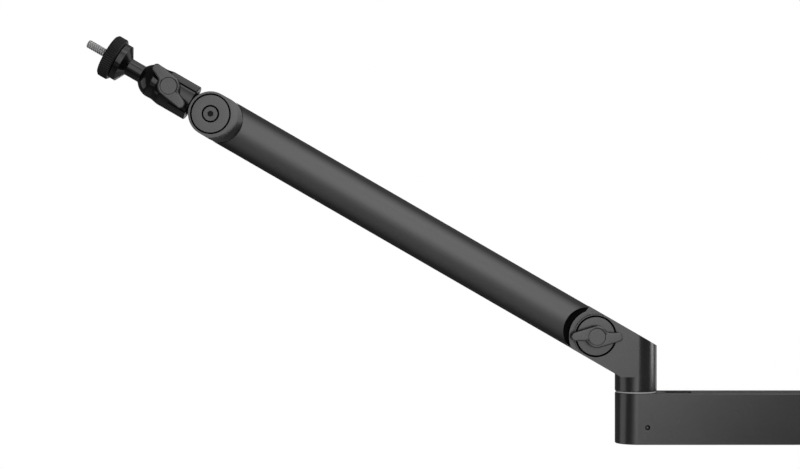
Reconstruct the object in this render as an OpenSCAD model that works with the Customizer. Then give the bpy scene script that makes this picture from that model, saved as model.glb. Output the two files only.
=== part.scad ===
// Low-profile boom arm for a microphone: desk clamp, flat lower arm,
// swivelling elbow, round upper tube and ball head with a threaded stud.
// The origin is on the clamp's swivel axis at the top of the desk. +Z is up,
// the lower arm runs toward -X, and the wing knobs are on the -Y side.

/* [Lower arm] */
// Distance between the base swivel and the elbow swivel
arm_span = 340; // [260:5:400]
// Width of the lower arm, which is also the diameter of its round ends
arm_w = 30; // [30:0.5:34]
// Height of the lower arm
arm_h = 36.5; // [36:0.5:42]
// Width of the cable channel in its top
channel_w = 14; // [10:0.5:15]
// Depth of the cable channel
channel_depth = 24; // [18:1:26]
// Wall between an elbow or base axis and the channel's end
channel_start = 19.3; // [18:0.1:24]
// Distance from each axis to the end of the channel's cover
cover_start = 40; // [36:1:60]

/* [Elbow] */
// Distance from the swivel axis back to the tilt axis
pivot_back = 30.2; // [30:0.2:34]
// Height of the tilt axis over the lower arm
pivot_rise = 40.9; // [40.5:0.1:45]
// Angle of the upper tube over the horizontal, in degrees
tilt = 30; // [26:1:32]
// Radius of the cheeks' round end
cheek_r = 19.15; // [19:0.05:19.6]
// Radius of the disc on the elbow's cheek
elbow_disc_r = 13.75; // [12:0.05:13.8]

/* [Upper arm] */
// Outside diameter of the tube
tube_d = 32.5; // [32.5:0.1:33]
// Wall of the tube
tube_wall = 2.5; // [2:0.1:3]
// Distance between the elbow pivot and the tip pivot
tube_span = 317; // [220:1:420]
// Radius of the disc on the tip's cheek
tip_disc_r = 13.5; // [12:0.05:13.6]

/* [Ball head] */
// Diameter of the ball
ball_d = 17; // [16:0.2:17]
// Diameter of the stem that grows from the ball
stem_d = 12.7; // [11:0.1:12.8]
// Diameter of the knurled lock wheel
wheel_d = 32.1; // [28:0.1:36]
// Number of ridges on the lock wheel
knurls = 60; // [40:1:72]
// Diameter of the microphone stud's thread
stud_d = 6.35; // [6.35:0.01:6.36]

/* [Wing knobs] */
// Length of a wing knob over both wings
knob_l = 36.5; // [30:0.5:38]
// Diameter of a wing knob's hub
knob_hub_d = 15.66; // [15:0.1:17]
// Thickness of a wing knob
knob_t = 8; // [7.5:0.1:9]

/* [Clamp] */
// Length of the upper jaw along the arm
jaw_l = 56; // [54:1:70]
// Width of the upper jaw
jaw_w = 46; // [44:1:60]
// Thickness of the desk in the clamp
desk_t = 30; // [10:1:60]

/* [Hidden] */
$fn = 96;

// Clearance of a running fit on the radius, and of a glued or pressed piece
fit = 0.05;
// Free gap between pieces that move past each other
gap = 0.3;

// Colours of the finishes
paint = [0.2, 0.2, 0.21];
dark = [0.08, 0.08, 0.085];
gloss = [0.06, 0.06, 0.065];
steel = [0.62, 0.62, 0.64];
brass = [0.72, 0.58, 0.32];
rubber = [0.1, 0.1, 0.1];
pale = [0.5, 0.5, 0.5];

// Heights of the clamp
pad_t = 2;
jaw_t = 9;
jaw_top = pad_t + jaw_t;
boss_top = jaw_top + 19;
spine_x = 28;
spine_t = 12;
lower_jaw_top = -80;
lower_jaw_t = 12;
jaw_reach = 14;
screw_r = 5;
foot_r = 18;
foot_t = 4;
screw_end = -desk_t - pad_t - foot_t - 1.4;
knob_drop = 77.6;
clamp_knob_h = 22;

// Spindles, their grooves and bushings
spindle_r = 8;
groove_r = 5.2;
pin_r = 1.5;
pin_off = groove_r + fit + pin_r;
bushing_r = 10;
washer_t = 1;

// Heights of the lower arm
arm_r = arm_w / 2;
arm_z = boss_top + washer_t;
arm_top = arm_z + arm_h;
rim = 0.5;
cover_w = 21.6;
cover_t = 2;
magnet = [12, 2.6, 3];
elbow_pin_z = arm_z + 12.3;
base_pin_z = jaw_top + 3.5;

// Elbow
post_z = arm_top + washer_t;
pivot_z = arm_top + pivot_rise;
plate_low = arm_top + 11.7;
half = tube_d / 2;
face_y = arm_r;
cheek_in = 8.6;
tongue = 7.6;
pocket_gap = 1;
pocket_t = 4.9;
slot_r = 18.6;
slot_wall = 17;
shoulder_x = 16.4;
shoulder_low = -7.5;
shoulder_top = 3;
shoulder_gap = 0.1;
lug_r = 18.2;
lug_angle = 35;
bolt_r = 4;
bevel_inner = 15.4;
bevel_outer = 16.2;
bevel_depth = 0.15;

// Upper arm, where a distance is measured from a pivot along the tube
cut_at = 8;
cut_r = half + 0.06;
bore_r = half - tube_wall;
plug_r = bore_r - 0.1;
plug_end = 50;
tongue_r = 15.5;
saddle_r = 15.9;
web_h = 11;
neck_r = 6;
fork_in = 8.5;
fork_slot = 15.5;
fork_free_r = 16;
fork_flat_r = 17.8;
fork_slope = 12;
rear_slot_w = 14;
rear_slot_start = 54;
rear_cover_start = 72;
ledge_y = 9.4;
ledge_top = 11.9;
screw_at = [28, 42];
tip_bolt_r = 3;
head_hole_r = 6.1;
head_tongue = 7.5;
head_tongue_r = 15;
head_web_h = 8;

// Ball head, where d is the distance from the tip pivot along the axis
housing_r = 13.2;
housing_d = 16.65;
ball_at = 47.6;
nose_r = 12.37;
nose_len = 12.63;
mouth_d = 58.3;
chamber_r = 9.5;
mouth_r = 6.75;
head_knob_at = 34.9;
head_knob_up = 2.2;
head_knob_y = -13.6;
head_knob_turn = 56;
slot_lean = 52;
plug_from = 27.5;
plug_to = 31;
cup_from = 31.2;
cup_to = 40.8;
stem_r = stem_d / 2;
cone_d = 69.4;
flange_d = 73.7;
flange_r = 13.75;
flange_end = 78.4;
wheel_start = 78.6;
wheel_end = 87.1;
stud_end = 103.3;
stud_r = stud_d / 2;

// Wing knobs
hub_r = knob_hub_d / 2;
wing_tip_r = 3.2;
wing_low = 2.95;
hair = 0.03;
cap_r = 6;

// Frames and basic forms

// The elbow pivot, with -X along the upper tube toward the microphone
module at_elbow() {
    translate([-arm_span - pivot_back, 0, pivot_z]) rotate([0, tilt, 0]) children();
}

// The tip pivot, with -X toward the microphone
module at_tip() {
    at_elbow() translate([-tube_span, 0, 0]) children();
}

// Extrudes an outline in X and Z from y0 to y1
module plate(y0, y1) {
    translate([0, y1, 0]) rotate([90, 0, 0]) linear_extrude(y1 - y0) children();
}

// A round rod along Y
module rod(r, y0, y1) {
    translate([0, y0, 0]) rotate([-90, 0, 0]) cylinder(r = r, h = y1 - y0);
}

// Turns what stands along Z so that it lies along the tube toward the microphone
module outward() {
    rotate([0, -90, 0]) children();
}

// A disc or washer along Z
module ring(inner, outer, z0, z1) {
    translate([0, 0, z0]) difference() {
        cylinder(r = outer, h = z1 - z0);
        translate([0, 0, -1]) cylinder(r = inner, h = z1 - z0 + 2);
    }
}

// A disc or washer along Y
module rod_ring(inner, outer, y0, y1) {
    difference() {
        rod(outer, y0, y1);
        rod(inner, y0 - 1, y1 + 1);
    }
}

// An outline with round ends from x0 to x1
module slot_outline(x0, x1, r) {
    translate([x0, -r]) square([x1 - x0, 2 * r]);
    translate([x0, 0]) circle(r);
    translate([x1, 0]) circle(r);
}

// A rectangle from x0 to x1 with round corners
module soft_rect(x0, x1, w, r) {
    translate([x0 + r, -w / 2]) square([x1 - x0 - 2 * r, w]);
    translate([x0, -w / 2 + r]) square([x1 - x0, w - 2 * r]);
    for (x = [x0 + r, x1 - r], y = [-w / 2 + r, w / 2 - r]) translate([x, y]) circle(r);
}

// Half of a bar's section, with a small chamfer on its edges
function rim_section(r, h) =
    [[0, 0], [r - rim, 0], [r, rim], [r, h - rim], [r - rim, h], [0, h]];

// A hexagon with the given width across its flats
module hex(flats) {
    circle(r = flats / 2 / cos(30), $fn = 6);
}

// Clamp

module clamp_bracket() {
    color(paint) difference() {
        union() {
            translate([0, 0, pad_t]) linear_extrude(jaw_t)
                soft_rect(-jaw_l / 2, spine_x + spine_t, jaw_w, 8);
            translate([0, 0, jaw_top - 1]) cylinder(r = arm_r, h = boss_top - jaw_top + 1);
            plate(-18, 18) bracket_side();
        }
        rib_pockets();
        translate([0, 0, jaw_top + 9]) cylinder(r = bushing_r + fit, h = 20);
        translate([0, 0, pad_t + 3]) cylinder(r = spindle_r + fit, h = 30);
        translate([pin_off, 0, base_pin_z]) rod(pin_r + fit, -arm_r, pin_r + 6);
        translate([0, 0, lower_jaw_top - lower_jaw_t - 1]) cylinder(r = screw_r + fit, h = lower_jaw_t + 2);
    }
}

// Spine, lower jaw and the gussets in the bracket's corners
module bracket_side() {
    low = lower_jaw_top - lower_jaw_t;
    translate([spine_x, low]) square([spine_t, jaw_top - low]);
    translate([-jaw_reach + 6, low]) square([spine_x + jaw_reach - 5, lower_jaw_t]);
    translate([-jaw_reach + 6, low + lower_jaw_t / 2]) circle(lower_jaw_t / 2);
    polygon([[spine_x + 1, lower_jaw_top + 12], [spine_x + 1, low], [spine_x - 12, lower_jaw_top - 1]]);
}

// The spine is a channel section, open to the outside
module rib_pockets() {
    low = lower_jaw_top - lower_jaw_t;
    for (side = [-1, 1])
        translate([spine_x + spine_t - 6, side * 8 - 6, low + 6]) cube([7, 12, pad_t - low - 10]);
}

module upper_jaw_pad() {
    color(rubber) linear_extrude(pad_t) soft_rect(-jaw_l / 2 + 1, spine_x - 1, jaw_w - 2, 7);
}

module base_bushing() {
    color(pale) ring(spindle_r + fit, bushing_r, jaw_top + 9, boss_top);
}

module base_washer() {
    color(pale) ring(spindle_r + gap, arm_r - 0.5, boss_top, boss_top + washer_t - fit);
}

module base_set_screw() {
    color(steel) translate([pin_off, 0, base_pin_z]) grub_screw(-12, pin_r + 5.5);
}

// A headless screw along Y with a hexagon socket in its outer end
module grub_screw(y0, y1) {
    difference() {
        rod(pin_r, y0, y1);
        plate(y0 - 1, y0 + 2) hex(1.5);
    }
}

module clamp_foot() {
    top = -desk_t - pad_t;
    color(paint) difference() {
        union() {
            translate([0, 0, top - foot_t]) cylinder(r = foot_r, h = foot_t);
            translate([0, 0, top - foot_t - 10]) cylinder(r = 9.5, h = 11);
        }
        translate([0, 0, top - foot_t - 11]) cylinder(r = screw_r + fit, h = 9.8);
        translate([0, 0, top - foot_t - 7]) cylinder(r = 6.05, h = 1.4);
    }
}

module foot_pad() {
    color(rubber) translate([0, 0, -desk_t - pad_t]) cylinder(r = foot_r, h = pad_t);
}

module foot_ring() {
    top = -desk_t - pad_t - foot_t - 7;
    color(steel) ring(4.05, 6, top + 0.1, top + 1.3);
}

module clamp_screw() {
    ring_z = -desk_t - pad_t - foot_t - 7;
    low = screw_end - knob_drop - clamp_knob_h + 4;
    color(steel) difference() {
        translate([0, 0, low]) cylinder(r = screw_r, h = screw_end - low);
        ring(4, 7, ring_z, ring_z + 1.4);
    }
}

// A hand knob with six lobes
module clamp_knob() {
    top = screw_end - knob_drop;
    color(dark) difference() {
        union() {
            translate([0, 0, top - 4]) cylinder(r = 10, h = 4);
            translate([0, 0, top - clamp_knob_h]) linear_extrude(clamp_knob_h - 4) {
                circle(17);
                for (a = [0:60:300]) rotate(a) translate([15.5, 0]) circle(6.5);
            }
        }
        for (a = [30:60:330]) rotate(a) translate([25, 0, top - clamp_knob_h - 1]) cylinder(r = 8, h = 40);
        translate([0, 0, top - clamp_knob_h + 4]) cylinder(r = screw_r + fit, h = 40);
    }
}

// Lower arm

module lower_arm() {
    color(paint) difference() {
        translate([0, 0, arm_z]) lower_arm_body();
        translate([0, 0, arm_top - channel_depth]) linear_extrude(channel_depth + 1)
            slot_outline(-arm_span + channel_start + channel_w / 2, -channel_start - channel_w / 2, channel_w / 2);
        cover_rebate();
        for (at = lower_magnet_places()) translate(at) magnet_block(fit);
        base_bores();
        elbow_bores();
    }
}

// A straight bar with half-round ends
module lower_arm_body() {
    section = rim_section(arm_r, arm_h);
    for (x = [0, -arm_span]) translate([x, 0, 0]) rotate_extrude() polygon(section);
    for (side = [0, 1]) mirror([0, side, 0])
        translate([-arm_span, 0, 0]) rotate([90, 0, 90]) linear_extrude(arm_span) polygon(section);
}

module cover_rebate() {
    w = cover_w + 2 * gap;
    translate([-arm_span + cover_start - gap, -w / 2, arm_top - cover_t])
        cube([arm_span - 2 * cover_start + 2 * gap, w, cover_t + 1]);
}

// Places of the magnets that hold the lower cover, three on each side
function lower_magnet_places() =
    [for (i = [0:2], side = [-1, 1])
        [-cover_start - 20 - i * (arm_span - 2 * cover_start - 40) / 2, side * 9.1, arm_top - cover_t]];

// A bar magnet that lies under the cover, or its pocket with room to spare
module magnet_block(room) {
    translate([-magnet.x / 2 - room, -magnet.y / 2 - room, -magnet.z])
        cube([magnet.x + 2 * room, magnet.y + 2 * room, magnet.z + (room > 0 ? 1 : -fit)]);
}

module base_bores() {
    translate([0, 0, arm_z - 1]) cylinder(r = spindle_r + fit, h = 20);
    translate([0, 0, arm_z + 9]) rotate([0, 90, 0]) cylinder(r = 2 + fit, h = arm_r + 1);
}

module elbow_bores() {
    translate([-arm_span, 0, arm_z + 5]) cylinder(r = spindle_r + fit, h = arm_h);
    translate([-arm_span, 0, arm_z + 17]) cylinder(r = bushing_r + fit, h = arm_h);
    translate([-arm_span + pin_off, 0, elbow_pin_z]) rod(pin_r + fit, -arm_r - 1, pin_r + 6);
}

// A shaft with a groove for a set screw
module spindle(z0, z1, groove_z) {
    difference() {
        translate([0, 0, z0]) cylinder(r = spindle_r, h = z1 - z0);
        ring(groove_r, spindle_r + 1, groove_z - pin_r - 0.1, groove_z + pin_r + 0.1);
    }
}

module base_spindle() {
    color(steel) spindle(pad_t + 3.3, arm_z + 18.8, base_pin_z);
}

module spindle_set_screw() {
    color(steel) translate([spindle_r + 0.1, 0, arm_z + 9]) rotate([0, 90, 0]) difference() {
        cylinder(r = 2, h = 6.4);
        translate([0, 0, 4.4]) linear_extrude(3) hex(2);
    }
}

module elbow_bushing() {
    color(pale) translate([-arm_span, 0, 0]) ring(spindle_r + fit, bushing_r, arm_z + 17, arm_top);
}

module elbow_washer() {
    color(pale) translate([-arm_span, 0, 0])
        ring(spindle_r + gap, arm_r - 0.5, arm_top, arm_top + washer_t - fit);
}

module elbow_set_screw() {
    color(steel) translate([-arm_span + pin_off, 0, elbow_pin_z]) grub_screw(-arm_r + 1, pin_r + 5.5);
}

module lower_magnets() {
    color(steel) for (at = lower_magnet_places()) translate(at) magnet_block(0);
}

// A flat lid with two legs that locate it in the channel
module lower_channel_cover() {
    l = arm_span - 2 * cover_start;
    leg_y = channel_w / 2 - gap;
    color(paint) translate([-arm_span + cover_start, 0, arm_top - cover_t]) {
        translate([0, -cover_w / 2, 0]) cube([l, cover_w, cover_t]);
        for (side = [0, 1]) mirror([0, side, 0]) translate([6, leg_y - 1.2, -5]) cube([l - 12, 1.2, 5.5]);
    }
}

// Elbow

module elbow_yoke() {
    color(paint) difference() {
        union() {
            intersection() {
                translate([-arm_span, 0, post_z]) rotate_extrude() polygon(rim_section(arm_r, 80));
                at_elbow() translate([-20, -arm_r - 1, -90]) cube([90, arm_w + 2, 90 + half]);
            }
            intersection() {
                at_elbow() plate(-face_y, face_y) cheek_outline();
                translate([-arm_span - 80, -arm_w, plate_low]) cube([80, 2 * arm_w, 100]);
            }
        }
        at_elbow() {
            plate(-cheek_in, cheek_in) yoke_slot();
            rod(bolt_r + 0.1, -arm_w, arm_w);
            for (side = [0, 1]) mirror([0, side, 0]) {
                rod(elbow_disc_r + pocket_gap, -arm_w, -face_y + pocket_t);
                cheek_bevel();
            }
        }
        translate([-arm_span, 0, post_z - 1]) cylinder(r = spindle_r + fit, h = 26);
        translate([-arm_span, 0, post_z + 12]) rod(2 + fit, 0, arm_w);
    }
}

// Side of the cheeks: round at the tube, with an ear at its upper corner
module cheek_outline() {
    ear_x = 14.7;
    ear_low = 11.8;
    intersection() {
        circle(cheek_r);
        translate([-cheek_r - 1, -half]) square([2 * cheek_r + 2, 2 * half]);
    }
    polygon([[0, half], [-ear_x, half], [-sqrt(pow(cheek_r, 2) - pow(ear_low, 2)), ear_low], [0, 0]]);
    translate([0, -half]) square([60, 2 * half]);
}

// Space between the cheeks. The shoulder in its wall stops the knuckle's lug
module yoke_slot() {
    difference() {
        union() {
            circle(slot_r);
            translate([-40, -40]) square([40 + slot_wall, 40 + shoulder_low]);
            translate([-40, -40]) square([40, 80]);
        }
        translate([shoulder_x, shoulder_low]) square([5, shoulder_top - shoulder_low]);
    }
}

// Shallow bevelled step round the disc, on the side of the tube
module cheek_bevel() {
    intersection() {
        translate([0, -face_y, 0]) rotate([90, 0, 0]) rotate_extrude()
            polygon([[bevel_inner, 1], [bevel_inner, -bevel_depth], [bevel_outer, 0], [bevel_outer, 1]]);
        translate([-40, -40, -40]) cube([38, 80, 80]);
    }
}

module elbow_spindle() {
    color(steel) translate([-arm_span, 0, 0]) spindle(arm_z + 5.3, post_z + 24.7, elbow_pin_z);
}

module yoke_set_screw() {
    color(steel) translate([-arm_span, 0, post_z + 12]) difference() {
        rod(2, spindle_r + 0.1, arm_r - 0.5);
        plate(arm_r - 2.5, arm_r) hex(2);
    }
}

module elbow_front_disc() {
    color(paint) at_elbow() rod_ring(bolt_r + 0.1, elbow_disc_r, -face_y, -face_y + pocket_t - fit);
}

module elbow_rear_disc() {
    color(paint) at_elbow() difference() {
        rod_ring(bolt_r + 0.1, elbow_disc_r, face_y - pocket_t + fit, face_y);
        rod(6.7, face_y - 3.6, face_y + 1);
    }
}

// The bolt through the elbow. Its head is at the back, and the knob turns on its front end
module elbow_bolt() {
    color(steel) at_elbow() difference() {
        union() {
            rod(6.4, face_y - 3.5, face_y - 0.3);
            rod(bolt_r, -face_y - 6.9, face_y - 3);
        }
        plate(face_y - 2.4, face_y + 1) hex(5);
    }
}

module elbow_friction_washers() {
    color(pale) at_elbow() for (side = [0, 1]) mirror([0, side, 0])
        rod_ring(bolt_r + 0.2, 14, tongue + 0.1, cheek_in - fit);
}

module elbow_knob_washer() {
    color(steel) at_elbow() rod_ring(bolt_r + 0.2, 7, -face_y - 0.85, -face_y - fit);
}

// Wing knob: a hub with two wings, each straight on one edge and sloping on the other.
// The straight edges cross the circles a hair inside, so that they don't just touch them
module knob_outline() {
    tip = [-knob_l / 2 + wing_tip_r, wing_tip_r - wing_low];
    slope = atan2(tip.y, tip.x) - acos((hub_r - wing_tip_r) / norm(tip));
    side = [cos(slope), sin(slope)];
    low = wing_low - hair;
    circle(hub_r);
    for (turn = [0, 180]) rotate(turn) {
        polygon([[0, 0], (hub_r - hair) * side, tip + (wing_tip_r - hair) * side, tip,
            [tip.x, -low], [0, -low]]);
        translate(tip) circle(wing_tip_r);
    }
}

// A wing knob with its back at y = 0, open for an insert and for its cap
module wing_knob(insert_r, insert_t) {
    difference() {
        plate(-knob_t, 0) knob_outline();
        rod(insert_r + fit, -insert_t, 1);
        rod(bolt_r + gap, -knob_t + 1, 1);
        rod(cap_r + fit, -knob_t - 1, -knob_t + 1.2);
    }
}

module knob_cap() {
    rod(cap_r, -knob_t + 0.4, -knob_t + 1.2 - fit);
}

module on_elbow_bolt() {
    translate([-arm_span - pivot_back, -face_y - 0.9, pivot_z]) children();
}

module elbow_knob() {
    color(paint) on_elbow_bolt() wing_knob(5.5, 5);
}

module elbow_knob_cap() {
    color(paint) on_elbow_bolt() knob_cap();
}

module elbow_knob_insert() {
    color(brass) on_elbow_bolt() rod_ring(bolt_r + fit, 5.5, -4.9, -0.1);
}

// Upper arm

// Tongue, web and plug in the tube's lower end, with the lug that stops the tilt
module lower_knuckle() {
    lug_low = shoulder_top + shoulder_gap;
    lug_slope = tan(lug_angle);
    color(dark) at_elbow() difference() {
        union() {
            plate(-tongue, tongue) {
                circle(tongue_r);
                translate([-cut_at, 0]) circle(saddle_r);
                translate([-screw_at[0], -web_h]) square([screw_at[0], 2 * web_h]);
                intersection() {
                    circle(lug_r);
                    polygon([[lug_low / lug_slope, lug_low], [arm_w, lug_low], [arm_w, arm_w * lug_slope]]);
                }
            }
            difference() {
                outward() translate([0, 0, cut_at]) cylinder(r = plug_r, h = plug_end - cut_at);
                translate([-cut_at, 0, 0]) rod(cut_r + 0.2, -arm_w, arm_w);
            }
        }
        rod(bolt_r + fit, -arm_w, arm_w);
        for (a = screw_at) translate([-a, 0, 0]) rod(2 + fit, 4.5, arm_w);
    }
}

// The tube is cut at both ends to a hollow round, and slotted at the back for the cable
module upper_tube() {
    color(paint) at_elbow() {
        difference() {
            outward() ring(bore_r, half, cut_at - 1, tube_span - cut_at + 1);
            for (a = [cut_at, tube_span - cut_at]) translate([-a, 0, 0]) rod(cut_r, -arm_w, arm_w);
            plate(5, arm_w) slot_outline(-tube_span + rear_slot_start + rear_slot_w / 2,
                -rear_slot_start - rear_slot_w / 2, rear_slot_w / 2);
            for (a = tube_screw_places()) translate([-a, 0, 0]) rod(3.6, 5, arm_w);
        }
        cover_ledges();
    }
}

// Distances of the four fixing screws from the elbow pivot
function tube_screw_places() = [for (a = screw_at, end = [a, tube_span - a]) end];

// Rails inside the slot that carry the magnets and the cover
module cover_ledges() {
    l = tube_span - 2 * rear_cover_start;
    difference() {
        for (side = [0, 1]) mirror([0, 0, side])
            translate([-tube_span + rear_cover_start, ledge_y, 4.5]) cube([l, ledge_top - ledge_y, 3.5]);
        for (at = upper_magnet_places()) translate(at) small_magnet(fit);
    }
}

function upper_magnet_places() =
    [for (i = [0:2], side = [-1, 1])
        [-rear_cover_start - 15 - i * (tube_span - 2 * rear_cover_start - 30) / 2, ledge_top, side * 5.8]];

module small_magnet(room) {
    translate([-5 - room, -1.5 - room, -0.9 - room])
        cube([10 + 2 * room, 1.5 + room + (room > 0 ? 1 : -fit), 1.8 + 2 * room]);
}

module upper_magnets() {
    color(steel) at_elbow() for (at = upper_magnet_places()) translate(at) small_magnet(0);
}

// A strip as round as the tube, which closes the slot between its two open ends
module upper_channel_cover() {
    l = tube_span - 2 * rear_cover_start - 2 * gap;
    w = rear_slot_w - 2 * gap;
    color(paint) at_elbow() intersection() {
        outward() cylinder(r = half - 0.05, h = tube_span);
        translate([-tube_span + rear_cover_start + gap, ledge_top + 0.1, -w / 2]) cube([l, 8, w]);
    }
}

// Button-head screws that fix the tube on its end pieces
module tube_screws() {
    color(dark) at_elbow() for (a = tube_screw_places()) translate([-a, 0, 0]) difference() {
        union() {
            rod(2, 5, 14);
            rod(3.4, 13.85, 15.9);
        }
        plate(14.6, 17) hex(2.5);
    }
}

// Fork at the tube's upper end, with a flat cone on its cheeks toward the tube.
// Its plug stays behind the tube's cut end, and a neck joins them
module upper_fork() {
    seat_r = half - 0.15;
    color(paint) at_tip() difference() {
        union() {
            intersection() {
                plate(-face_y, face_y) {
                    circle(fork_free_r);
                    polygon([[0, -fork_free_r], [cut_at, -seat_r], [cut_at, seat_r], [0, fork_free_r]]);
                    translate([cut_at, 0]) circle(seat_r);
                }
                rotate([-90, 0, 0]) rotate_extrude() fork_cone();
            }
            difference() {
                translate([cut_at, 0, 0]) rotate([0, 90, 0]) cylinder(r = plug_r, h = plug_end - cut_at);
                translate([cut_at, 0, 0]) rod(cut_r + 0.2, -arm_w, arm_w);
            }
            translate([fork_slot + 0.5, 0, 0]) rotate([0, 90, 0]) cylinder(r = neck_r, h = 14);
        }
        translate([-arm_w, -fork_in, -arm_w]) cube([arm_w + fork_slot, 2 * fork_in, 2 * arm_w]);
        rod(tip_bolt_r + 0.1, -arm_w, arm_w);
        for (side = [0, 1]) mirror([0, side, 0]) rod(tip_disc_r + pocket_gap, -arm_w, -face_y + pocket_t);
        for (a = screw_at) translate([a, 0, 0]) rod(2 + fit, 4.5, arm_w);
    }
}

// Half section of the cones on both cheeks
module fork_cone() {
    far_r = fork_flat_r + face_y / tan(fork_slope);
    polygon([[0, -face_y], [fork_flat_r, -face_y], [far_r, 0], [fork_flat_r, face_y], [0, face_y]]);
}

module tip_front_disc() {
    color(paint) at_tip() difference() {
        rod_ring(tip_bolt_r + 0.1, tip_disc_r, -face_y, -face_y + pocket_t - fit);
        rod(head_hole_r, -face_y - 1, -face_y + 3.6);
    }
}

module tip_rear_disc() {
    color(paint) at_tip() mirror([0, 1, 0]) difference() {
        rod_ring(tip_bolt_r + 0.1, tip_disc_r, -face_y, -face_y + pocket_t - fit);
        rod(head_hole_r, -face_y - 1, -face_y + 3.6);
    }
}

module tip_bolt() {
    color(dark) at_tip() difference() {
        union() {
            rod(5.05, -face_y + 0.1, -face_y + 3.5);
            rod(tip_bolt_r, -face_y + 3, face_y - 0.5);
        }
        plate(-face_y - 1, -face_y + 2.2) hex(4);
    }
}

module tip_nut() {
    color(steel) at_tip() difference() {
        plate(face_y - 3.5, face_y - 1) hex(10);
        rod(tip_bolt_r + fit, 0, arm_w);
    }
}

module tip_friction_washers() {
    color(pale) at_tip() for (side = [0, 1]) mirror([0, side, 0]) rod_ring(tip_bolt_r + 0.2, 13, 7.6, 8.45);
}

// Ball head

// Tongue in the fork, with a round plug that screws into the housing
module tip_knuckle() {
    color(dark) at_tip() difference() {
        union() {
            plate(-head_tongue, head_tongue) {
                circle(head_tongue_r);
                translate([-housing_d, -head_web_h]) square([housing_d, 2 * head_web_h]);
            }
            outward() translate([0, 0, 12]) cylinder(r = head_tongue, h = 8);
            outward() translate([0, 0, housing_d + fit]) cylinder(r = chamber_r - fit, h = 10);
        }
        rod(tip_bolt_r + fit, -arm_w, arm_w);
    }
}

// Outline of the housing from its end plane to the mouth, as radius and distance
function housing_section() = concat(
    [[0, housing_d], [housing_r - rim, housing_d], [housing_r, housing_d + rim],
        [housing_r, 38.8], [12.15, 44.2], [12.2, 46]],
    [for (x = [1.6:1.1:mouth_d - ball_at]) [nose_r * sqrt(1 - pow(x / nose_len, 2)), ball_at + x]],
    [[6.9, mouth_d], [0, mouth_d]]);

module head_housing() {
    color(gloss) at_tip() difference() {
        outward() rotate_extrude() polygon(housing_section());
        outward() translate([0, 0, housing_d - 1]) cylinder(r = chamber_r, h = ball_at - housing_d + 1);
        translate([-ball_at, 0, 0]) sphere(r = ball_d / 2 + fit);
        outward() translate([0, 0, ball_at]) cylinder(r = mouth_r, h = 20);
        drop_notch();
        for (lean = [slot_lean, 180 - slot_lean, 180 + slot_lean, -slot_lean]) rotate([lean, 0, 0])
            translate([-31, -0.75, housing_r - 1.2]) cube([31, 1.5, 3]);
        translate([-head_knob_at, 0, head_knob_up]) rod(tip_bolt_r + fit, -arm_w, 0);
    }
}

// The notch at the back into which the stem drops
module drop_notch() {
    translate([-mouth_d - 1, 0, -mouth_r]) cube([mouth_d + 1 - ball_at, arm_w, 2 * mouth_r]);
    translate([-ball_at, 0, 0]) rod(mouth_r, 0, arm_w);
}

module backing_plug() {
    color(steel) at_tip() outward() difference() {
        translate([0, 0, plug_from]) cylinder(r = chamber_r - fit, h = plug_to - plug_from);
        translate([0, 0, plug_from - 1]) linear_extrude(3) hex(8);
    }
}

// The cup behind the ball, with a hole for the tip of the head screw
module ball_cup() {
    color(brass) at_tip() difference() {
        outward() translate([0, 0, cup_from]) cylinder(r = chamber_r - fit, h = cup_to - cup_from);
        translate([-ball_at, 0, 0]) sphere(r = ball_d / 2 + fit);
        translate([-head_knob_at, 0, head_knob_up]) rod(tip_bolt_r + 0.2, -arm_w, -0.5);
    }
}

module on_head_screw() {
    translate([-head_knob_at, head_knob_y, head_knob_up]) rotate([0, head_knob_turn - tilt, 0]) children();
}

module head_knob() {
    color(paint) at_tip() on_head_screw() wing_knob(bolt_r + gap, 5);
}

module head_knob_cap() {
    color(paint) at_tip() on_head_screw() knob_cap();
}

// A stud that is fixed in the knob and presses on the ball cup
module head_screw() {
    color(steel) at_tip() on_head_screw() {
        rod(bolt_r + gap - fit, -knob_t + 1.3, -0.1);
        rod(tip_bolt_r, -1, 10);
        translate([0, 10, 0]) rotate([-90, 0, 0]) cylinder(r1 = tip_bolt_r, r2 = 1, h = 2);
    }
}

module ball() {
    color(steel) at_tip() difference() {
        translate([-ball_at, 0, 0]) sphere(r = ball_d / 2);
        outward() translate([0, 0, ball_at - 3.7]) cylinder(r = bolt_r + fit, h = 20);
        outward() translate([0, 0, ball_at + 6.7]) cylinder(r = ball_d, h = 20);
    }
}

// Stem with its cone and round flange
module stem() {
    color(gloss) at_tip() outward() difference() {
        rotate_extrude() polygon([[0, ball_at - 3.6], [bolt_r, ball_at - 3.6], [bolt_r, ball_at + 6.9],
            [stem_r, ball_at + 6.9], [stem_r, cone_d], [flange_r, flange_d],
            [flange_r, flange_end - rim], [flange_r - rim, flange_end], [0, flange_end]]);
        translate([0, 0, cone_d - 3]) cylinder(r = stud_r + fit, h = 20);
    }
}

// The stud has a short relief where it leaves the wheel, and a chamfered end
module mic_stud() {
    relief = wheel_end - 0.7;
    color(steel) at_tip() outward() rotate_extrude()
        polygon([[0, cone_d - 2.9], [stud_r, cone_d - 2.9], [stud_r, relief], [stud_r - 0.4, relief],
            [stud_r - 0.4, wheel_end], [stud_r, wheel_end], [stud_r, stud_end - rim],
            [stud_r - rim, stud_end], [0, stud_end]]);
}

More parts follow.
